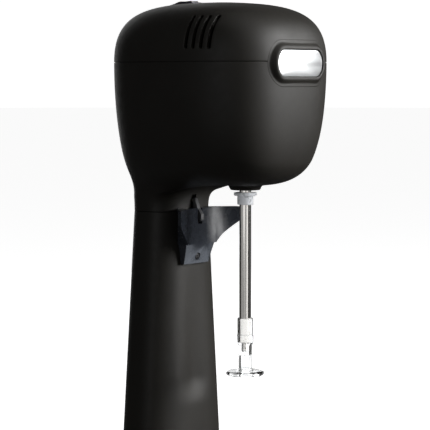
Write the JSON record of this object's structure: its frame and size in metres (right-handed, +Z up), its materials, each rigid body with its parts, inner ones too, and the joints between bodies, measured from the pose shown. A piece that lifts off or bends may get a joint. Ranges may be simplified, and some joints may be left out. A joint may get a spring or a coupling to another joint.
{
  "type": "stand drink mixer",
  "caption": "Single-spindle stand drink mixer: rounded motor head on a tapered column, cup bracket with lever switch, steel spindle with clear agitator.",
  "frame": {"origin": "middle of the base at table level", "axes": "+Z up along the machine's height, +X towards the front where the spindle and the badge are, +Y to the left of the machine"},
  "size_m": [0.1959, 0.17, 0.4906],
  "materials": {
    "body_paint": "fine satin texture, warm charcoal",
    "satin_metal": "satin plate and screw heads",
    "steel": "ground and polished shaft",
    "dark_plastic": "glossy anthracite moulding",
    "switch_plastic": "dark purple-grey switch moulding",
    "white_plastic": "translucent white collar",
    "clear_plastic": "clear moulded plastic",
    "rubber": "black rubber",
    "cast_metal": "pressed and cast light metal",
    "laminated_iron": "stacked laminations",
    "copper": "enamelled copper winding",
    "brass": "turned brass",
    "carbon": "pressed carbon",
    "nylon": "natural nylon",
    "board": "circuit board",
    "bronze": "sintered bronze"
  },
  "bodies": {
    "housing": {"top_cover": "body_paint", "head_housing": "body_paint", "pedestal_housing": "body_paint", "badge_bezel": "body_paint", "badge_plate": "satin_metal", "base_screw_1": "satin_metal", "base_screw_2": "satin_metal", "base_screw_3": "satin_metal", "base_screw_4": "satin_metal", "bracket_screw_1": "satin_metal", "bracket_screw_2": "satin_metal", "bracket_screw_3": "satin_metal", "cover_screw_1": "satin_metal", "cover_screw_2": "satin_metal", "neck_screw_1": "satin_metal", "neck_screw_2": "satin_metal", "bearing_lower": "steel", "bearing_upper": "steel", "lever_pin": "steel", "cup_bracket": "dark_plastic", "microswitch": "dark_plastic", "switch_frame": "switch_plastic", "suppression_capacitor": "switch_plastic", "foot_1": "rubber", "foot_2": "rubber", "foot_3": "rubber", "foot_4": "rubber", "cable_gland": "rubber", "shaft_seal": "rubber", "motor_bush_1": "rubber", "motor_bush_2": "rubber", "motor_bush_3": "rubber", "motor_bush_4": "rubber", "base_plate": "cast_metal", "motor_lower_bracket": "cast_metal", "motor_upper_bracket": "cast_metal", "stator_core": "laminated_iron", "stator_coil_1": "copper", "stator_coil_2": "copper", "brush_holder_1": "brass", "brush_holder_2": "brass", "carbon_brush_1": "carbon", "carbon_brush_2": "carbon", "terminal_block": "nylon", "control_board": "board", "spindle_bush": "bronze"},
    "rotor": {"motor_shaft": "steel", "armature_core": "laminated_iron", "armature_winding_lower": "copper", "armature_winding_upper": "copper", "commutator": "copper", "cooling_fan": "nylon", "drive_coupling": "brass", "spindle_shaft": "steel", "shaft_collar": "white_plastic", "agitator": "clear_plastic"},
    "rocker": {"switch_rocker": "switch_plastic"},
    "lever": {"cup_lever": "dark_plastic"},
    "plunger": {"switch_plunger": "nylon"}
  },
  "joints": [
    {"name": "spindle_spin", "type": "hinge", "parent": "housing", "child": "rotor", "pos_m": [0.0315, 0, 0.3], "axis": [0, 0, 1], "continuous": true},
    {"name": "rocker_tilt", "type": "hinge", "parent": "housing", "child": "rocker", "pos_m": [-0.04621, 0, 0.48459], "axis": [0, 1, 0], "range_deg": [-12, 12]},
    {"name": "lever_swing", "type": "hinge", "parent": "housing", "child": "lever", "pos_m": [-0.0312, 0, 0.2646], "axis": [0, -1, 0], "range_deg": [0, 8], "stiffness_Nm_per_rad": 0.05, "springref_deg": -5.73},
    {"name": "plunger_slide", "type": "slide", "parent": "housing", "child": "plunger", "axis": [-1, 0, 0], "range_m": [0, 0.00471]}
  ],
  "couplings": [
    {"joint": "plunger_slide", "follows": "lever_swing", "m_per_rad": 0.0334}
  ]
}
